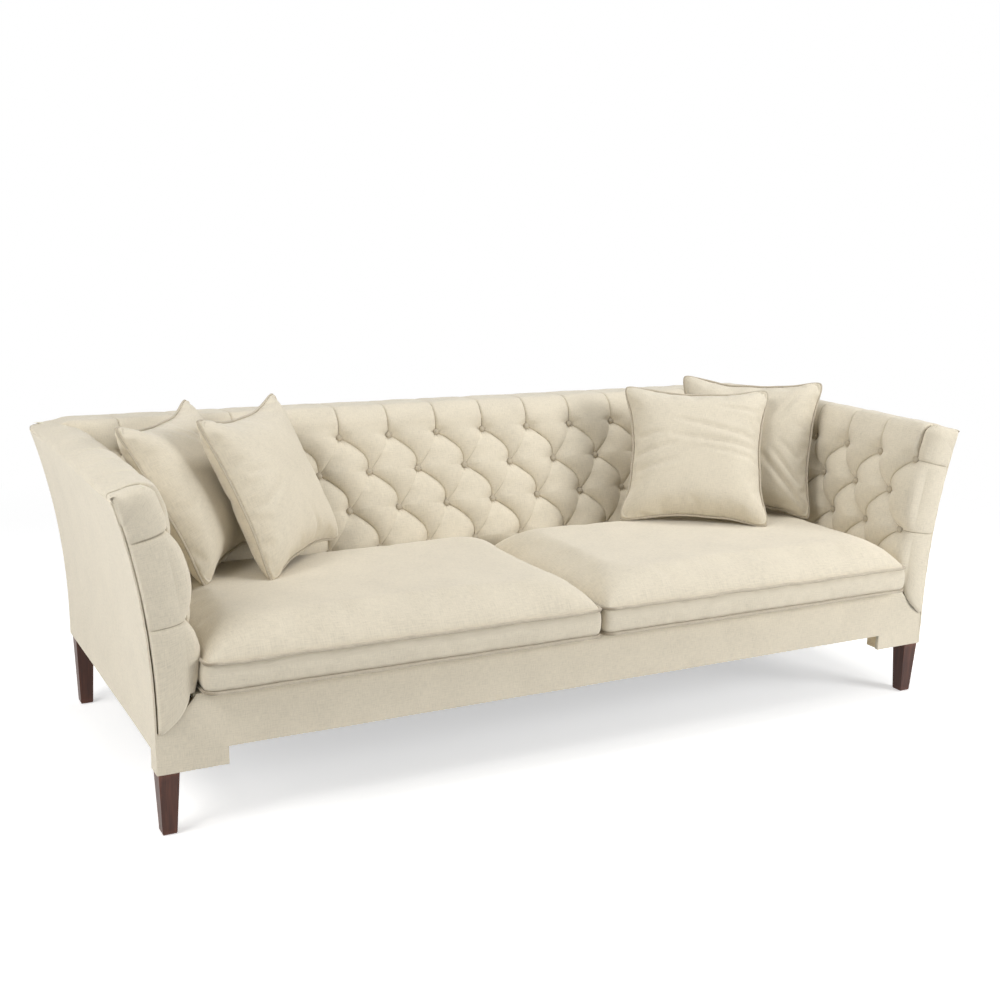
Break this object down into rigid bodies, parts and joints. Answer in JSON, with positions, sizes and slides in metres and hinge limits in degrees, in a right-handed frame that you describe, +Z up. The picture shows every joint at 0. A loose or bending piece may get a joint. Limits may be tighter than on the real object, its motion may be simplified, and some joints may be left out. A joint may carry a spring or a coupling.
{
  "type": "tufted sofa",
  "caption": "Deep-buttoned sofa with flared arms, loose seat cushions, scatter cushions, sprung timber frame and tapered wooden legs.",
  "frame": {"origin": "on the floor under the middle of the sofa", "axes": "+X to the right-hand end seen from the front, +Y to the back, +Z up"},
  "size_m": [2.4028, 0.9997, 0.8671],
  "materials": {
    "linen": "plain woven linen, oatmeal",
    "cord_linen": "welt cord covered in the same linen",
    "walnut": "dark walnut, satin lacquer",
    "frame_timber": "kiln-dried hardwood, planed",
    "upholstery_foam": "open-cell foam",
    "feather_fill": "white feather-proof cotton",
    "webbing_tape": "woven elastic webbing",
    "dust_cloth": "black non-woven",
    "spring_steel": "oiled spring wire",
    "fixing_steel": "zinc-plated steel",
    "zip_tape": "woven zip tape and coil",
    "glide_plastic": "moulded nylon"
  },
  "bodies": {
    "frame": {"arm_buttons_left": "linen", "arm_buttons_right": "linen", "arm_foam": "upholstery_foam", "arm_front_post_left": "frame_timber", "arm_front_post_right": "frame_timber", "arm_rear_posts": "frame_timber", "arm_tack_rails": "frame_timber", "arm_top_rail_left": "frame_timber", "arm_top_rail_right": "frame_timber", "arm_tufted_cover_left": "linen", "arm_tufted_cover_right": "linen", "arm_webbing": "webbing_tape", "back_buttons": "linen", "back_foam": "upholstery_foam", "back_rail": "frame_timber", "back_top_rail": "frame_timber", "back_tufted_cover": "linen", "back_uprights": "frame_timber", "back_webbing": "webbing_tape", "corner_braces": "frame_timber", "cross_rails": "frame_timber", "deck_cover": "linen", "deck_pad": "upholstery_foam", "drop_blocks": "frame_timber", "dust_cover": "dust_cloth", "frame_screws": "fixing_steel", "front_border": "linen", "front_rail": "frame_timber", "leg_bolts": "fixing_steel", "leg_front_left": "walnut", "leg_front_right": "walnut", "leg_glides": "glide_plastic", "leg_nuts": "fixing_steel", "leg_rear_left": "walnut", "leg_rear_right": "walnut", "outside_arm_panel_left": "linen", "outside_arm_panel_right": "linen", "outside_back_panel": "linen", "seat_springs": "spring_steel", "side_rails": "frame_timber", "spring_clips": "fixing_steel", "spring_rail": "frame_timber"},
    "seat_cushion_right": {"seat_cushion_cover_right": "linen", "seat_cushion_foam_right": "upholstery_foam", "seat_cushion_piping_right": "cord_linen", "seat_cushion_zip_right": "zip_tape"},
    "zip_pull_right": {"seat_zip_pull_right": "fixing_steel"},
    "pillow_rear_right": {"pillow_rear_right_cover": "linen", "pillow_rear_right_insert": "feather_fill"},
    "pillow_front_right": {"pillow_front_right_cover": "linen", "pillow_front_right_insert": "feather_fill"},
    "seat_cushion_left": {"seat_cushion_cover_left": "linen", "seat_cushion_foam_left": "upholstery_foam", "seat_cushion_piping_left": "cord_linen", "seat_cushion_zip_left": "zip_tape"},
    "zip_pull_left": {"seat_zip_pull_left": "fixing_steel"},
    "pillow_rear_left": {"pillow_rear_left_cover": "linen", "pillow_rear_left_insert": "feather_fill"},
    "pillow_front_left": {"pillow_front_left_cover": "linen", "pillow_front_left_insert": "feather_fill"}
  },
  "joints": [
    {"name": "lift_seat_cushion_right", "type": "slide", "parent": "frame", "child": "seat_cushion_right", "axis": [0, 0, 1], "range_m": [0, 0.45]},
    {"name": "zip_slide_right", "type": "slide", "parent": "seat_cushion_right", "child": "zip_pull_right", "axis": [1, 0, 0], "range_m": [0, 0.764]},
    {"name": "lift_pillow_rear_right", "type": "slide", "parent": "seat_cushion_right", "child": "pillow_rear_right", "axis": [0, 0, 1], "range_m": [0, 0.5]},
    {"name": "lift_pillow_front_right", "type": "slide", "parent": "pillow_rear_right", "child": "pillow_front_right", "axis": [0, 0, 1], "range_m": [0, 0.5]},
    {"name": "lift_seat_cushion_left", "type": "slide", "parent": "frame", "child": "seat_cushion_left", "axis": [0, 0, 1], "range_m": [0, 0.45]},
    {"name": "zip_slide_left", "type": "slide", "parent": "seat_cushion_left", "child": "zip_pull_left", "axis": [-1, 0, 0], "range_m": [0, 0.764]},
    {"name": "lift_pillow_rear_left", "type": "slide", "parent": "seat_cushion_left", "child": "pillow_rear_left", "axis": [0, 0, 1], "range_m": [0, 0.5]},
    {"name": "lift_pillow_front_left", "type": "slide", "parent": "pillow_rear_left", "child": "pillow_front_left", "axis": [0, 0, 1], "range_m": [0, 0.5]}
  ]
}
